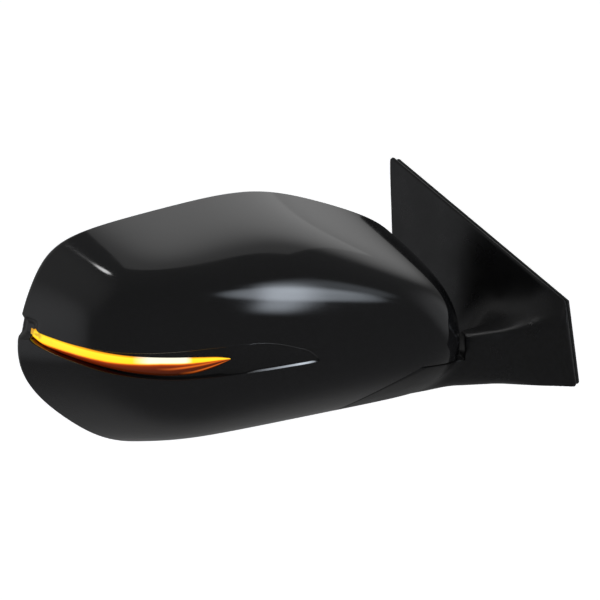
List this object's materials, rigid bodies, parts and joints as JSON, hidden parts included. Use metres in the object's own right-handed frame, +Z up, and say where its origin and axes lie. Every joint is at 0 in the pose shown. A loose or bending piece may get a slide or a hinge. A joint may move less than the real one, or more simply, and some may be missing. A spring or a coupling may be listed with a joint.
{
  "type": "car side mirror",
  "caption": "Folding car side mirror with a swept head, wrap-around turn signal, motor-tilted glass and a triangular door mount with studs.",
  "frame": {"origin": "centre of the bracket's flat pad, on the plane that touches the door skin", "axes": "+X inboard into the door, +Y towards the rear of the car, +Z up; the head stands out towards -X"},
  "size_m": [0.3318, 0.213, 0.177],
  "materials": {
    "gloss_black_paint": "gloss black lacquer",
    "black_plastic": "fine grain moulded black",
    "satin_plastic": "satin charcoal",
    "white_acetal": "natural acetal",
    "clear_polycarbonate": "clear",
    "amber_lens": "polished amber",
    "led_package": "lit amber",
    "circuit_board": "solder mask",
    "mirror_glass": "silvered, clear",
    "heater_foil": "orange film",
    "zinc_steel": "zinc plated",
    "cast_aluminium": "as cast",
    "bronze_bearing": "sintered",
    "black_rubber": "matt"
  },
  "bodies": {
    "base": {"base_bracket": "cast_aluminium", "base_cover": "gloss_black_paint", "door_gasket": "black_rubber", "door_stud_1": "zinc_steel", "door_stud_2": "zinc_steel", "door_stud_3": "zinc_steel", "wire_grommet": "black_rubber", "base_lead": "black_rubber", "fold_shaft": "zinc_steel", "retaining_clip": "zinc_steel", "spring_washer": "zinc_steel", "fold_spring": "zinc_steel", "thrust_washer": "bronze_bearing"},
    "head": {"front_cap": "gloss_black_paint", "rear_housing": "black_plastic", "head_frame": "cast_aluminium", "head_lead": "black_rubber", "lamp_housing": "black_plastic", "lamp_bezel": "satin_plastic", "signal_lens": "amber_lens", "light_guide": "clear_polycarbonate", "led_board": "circuit_board", "led_1": "led_package", "led_2": "led_package", "led_3": "led_package", "led_4": "led_package", "housing_screw_1": "zinc_steel", "housing_screw_2": "zinc_steel", "housing_screw_3": "zinc_steel", "housing_screw_4": "zinc_steel", "actuator_screw_1": "zinc_steel", "actuator_screw_2": "zinc_steel", "actuator_screw_3": "zinc_steel", "actuator_housing": "black_plastic", "actuator_cover": "black_plastic", "yaw_motor": "zinc_steel", "pitch_motor": "zinc_steel"},
    "tilt_ring": {"tilt_ring": "black_plastic"},
    "glass": {"mirror_glass": "mirror_glass", "heater_pad": "heater_foil", "glass_holder": "black_plastic"},
    "yaw_plunger": {"yaw_plunger": "white_acetal"},
    "yaw_gear": {"yaw_gear": "white_acetal"},
    "yaw_worm": {"yaw_worm": "zinc_steel"},
    "pitch_plunger": {"pitch_plunger": "white_acetal"},
    "pitch_gear": {"pitch_gear": "white_acetal"},
    "pitch_worm": {"pitch_worm": "zinc_steel"}
  },
  "joints": [
    {"name": "head_fold", "type": "hinge", "parent": "base", "child": "head", "pos_m": [-0.076, -0.03, 0], "axis": [0, 0, -1], "range_deg": [-5, 52]},
    {"name": "glass_yaw", "type": "hinge", "parent": "head", "child": "tilt_ring", "pos_m": [-0.19772, 0.04506, 0.008], "axis": [0, 0, 1], "range_deg": [-7, 7]},
    {"name": "glass_pitch", "type": "hinge", "parent": "tilt_ring", "child": "glass", "pos_m": [-0.19772, 0.04506, 0.008], "axis": [-0.9659, 0.2588, 0], "range_deg": [-7, 7]},
    {"name": "yaw_plunger_slide", "type": "slide", "parent": "head", "child": "yaw_plunger", "axis": [-0.2588, -0.9659, 0], "range_m": [-0.004, 0.004]},
    {"name": "yaw_gear_spin", "type": "hinge", "parent": "head", "child": "yaw_gear", "pos_m": [-0.23136, 0.03544, 0.008], "axis": [-0.2588, -0.9659, 0], "range_deg": [-115, 115]},
    {"name": "yaw_worm_spin", "type": "hinge", "parent": "head", "child": "yaw_worm", "pos_m": [-0.22093, 0.03264, 0.008], "axis": [0, 0, 1], "range_deg": [-2050, 2050]},
    {"name": "pitch_plunger_slide", "type": "slide", "parent": "head", "child": "pitch_plunger", "axis": [-0.2588, -0.9659, 0], "range_m": [-0.004, 0.004]},
    {"name": "pitch_gear_spin", "type": "hinge", "parent": "head", "child": "pitch_gear", "pos_m": [-0.20238, 0.02768, -0.022], "axis": [-0.2588, -0.9659, 0], "range_deg": [-115, 115]},
    {"name": "pitch_worm_spin", "type": "hinge", "parent": "head", "child": "pitch_worm", "pos_m": [-0.20238, 0.02768, -0.0112], "axis": [-0.9659, 0.2588, 0], "range_deg": [-2050, 2050]}
  ],
  "couplings": [
    {"joint": "yaw_plunger_slide", "follows": "glass_yaw", "m_per_rad": 0.03},
    {"joint": "yaw_gear_spin", "follows": "glass_yaw", "ratio": 15.708},
    {"joint": "yaw_worm_spin", "follows": "glass_yaw", "ratio": 282.74},
    {"joint": "pitch_plunger_slide", "follows": "glass_pitch", "m_per_rad": 0.03},
    {"joint": "pitch_gear_spin", "follows": "glass_pitch", "ratio": 15.708},
    {"joint": "pitch_worm_spin", "follows": "glass_pitch", "ratio": 282.74}
  ]
}
